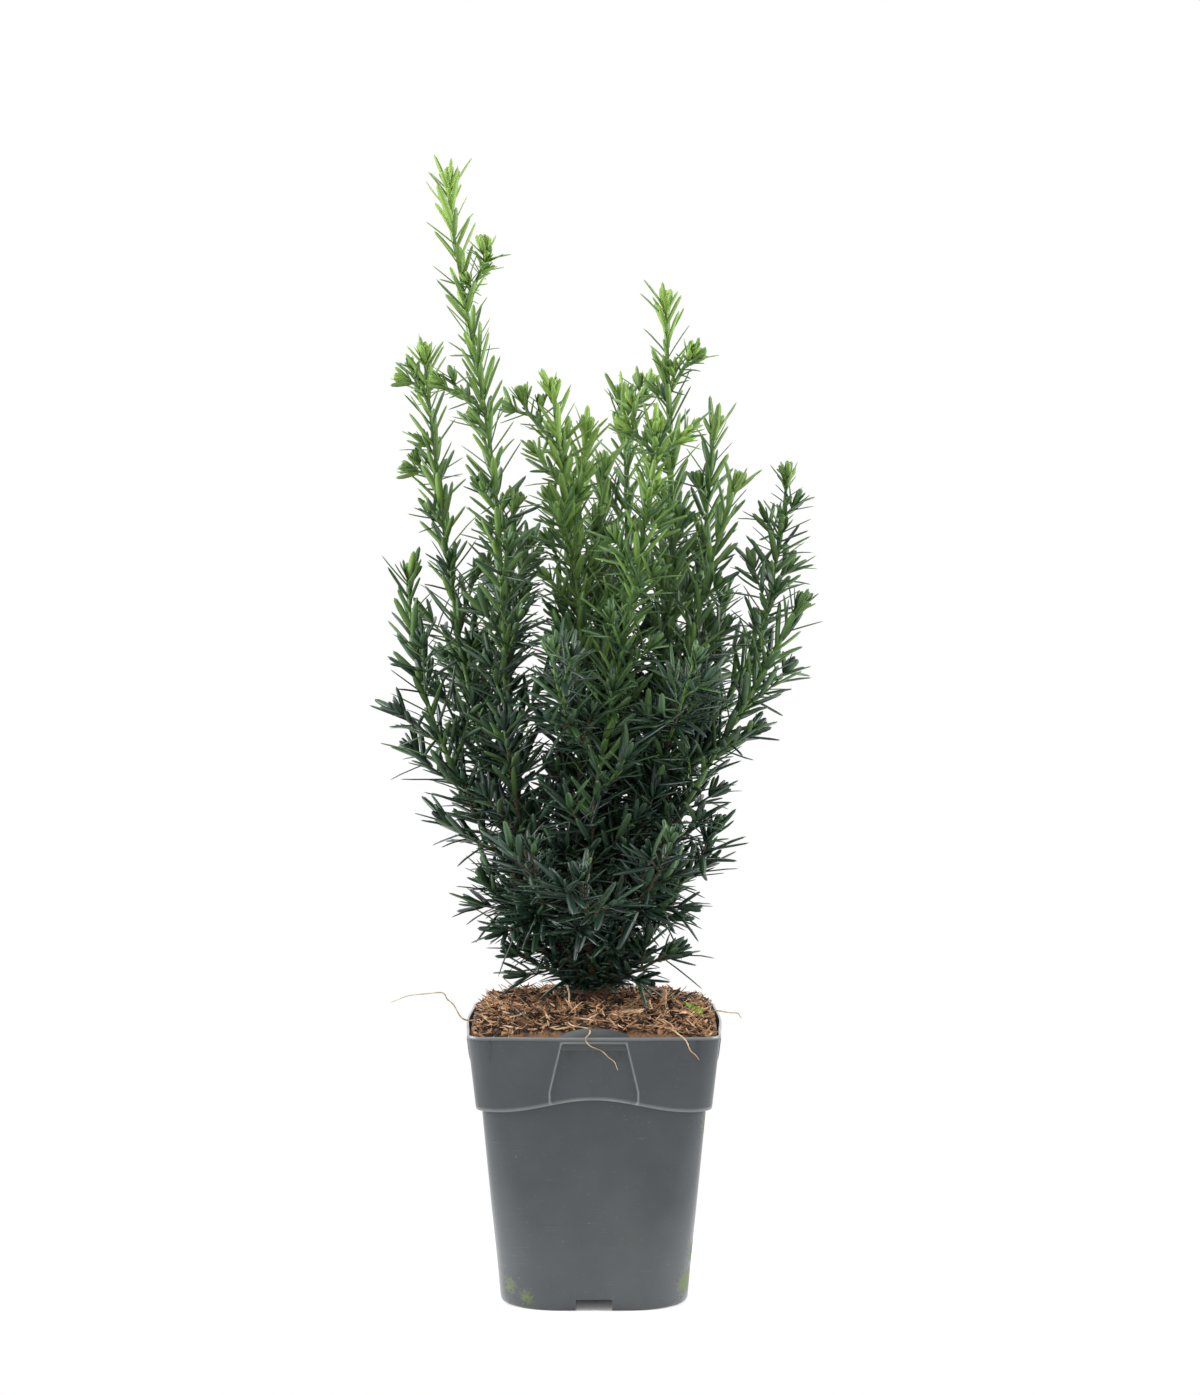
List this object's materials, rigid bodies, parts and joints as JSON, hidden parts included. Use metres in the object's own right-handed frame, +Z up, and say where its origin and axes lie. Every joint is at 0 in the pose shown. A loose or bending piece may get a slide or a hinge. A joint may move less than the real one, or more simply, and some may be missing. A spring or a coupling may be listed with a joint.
{
  "type": "potted hybrid yew shrub",
  "caption": "Young upright hybrid yew with dense needled shoots of uneven height, growing from a short stump in a square nursery pot of peat.",
  "frame": {"origin": "middle of the whole plant's bounding box, at the level that the pot stands on; the pot's own axis lies 3.6 mm towards -X of it", "axes": "+Z up, -Y towards the viewer of the picture, +X to that viewer's right"},
  "size_m": [0.2232, 0.1801, 0.591],
  "materials": {
    "pot": "satin dark grey moulded plastic",
    "soil": "rough fibrous brown peat",
    "bark": "scaly reddish brown bark",
    "foliage": "leathery dark green needles, lime green at the tips"
  },
  "bodies": {
    "root": {"pot": "pot", "soil": "soil", "stump": "bark", "bough_tall_left": "bark", "bough_left": "bark", "bough_far_left": "bark", "bough_centre_left": "bark", "bough_centre": "bark", "bough_centre_back": "bark", "bough_back": "bark", "bough_front": "bark", "bough_tall_right": "bark", "bough_right": "bark", "bough_mid_right": "bark", "bough_far_right": "bark", "bough_low_right": "bark", "foliage_tall_left": "foliage", "foliage_left": "foliage", "foliage_far_left": "foliage", "foliage_centre_left": "foliage", "foliage_centre": "foliage", "foliage_centre_back": "foliage", "foliage_back": "foliage", "foliage_front": "foliage", "foliage_tall_right": "foliage", "foliage_right": "foliage", "foliage_mid_right": "foliage", "foliage_far_right": "foliage", "foliage_low_right": "foliage", "foliage_tall_left_side": "foliage", "foliage_tall_left_spur": "foliage", "foliage_left_side": "foliage", "foliage_left_spur": "foliage", "foliage_centre_left_side": "foliage", "foliage_back_side": "foliage", "foliage_front_left_head": "foliage", "foliage_front_right_head": "foliage", "foliage_tall_right_side": "foliage", "foliage_far_right_upright": "foliage", "foliage_low_left_front": "foliage", "foliage_low_left_high": "foliage", "foliage_low_far_left": "foliage", "foliage_low_right_front": "foliage", "foliage_low_right_high": "foliage", "foliage_low_far_right": "foliage", "foliage_front_low": "foliage", "foliage_front_low_left": "foliage", "foliage_front_low_right": "foliage", "foliage_front_mid_left": "foliage", "foliage_front_mid_right": "foliage", "foliage_back_left": "foliage", "foliage_back_far_left": "foliage", "foliage_back_high": "foliage", "foliage_back_low": "foliage", "foliage_back_right": "foliage", "foliage_back_far_right": "foliage", "foliage_back_foot_left": "foliage", "foliage_back_foot": "foliage", "foliage_back_foot_right": "foliage"}
  },
  "joints": []
}
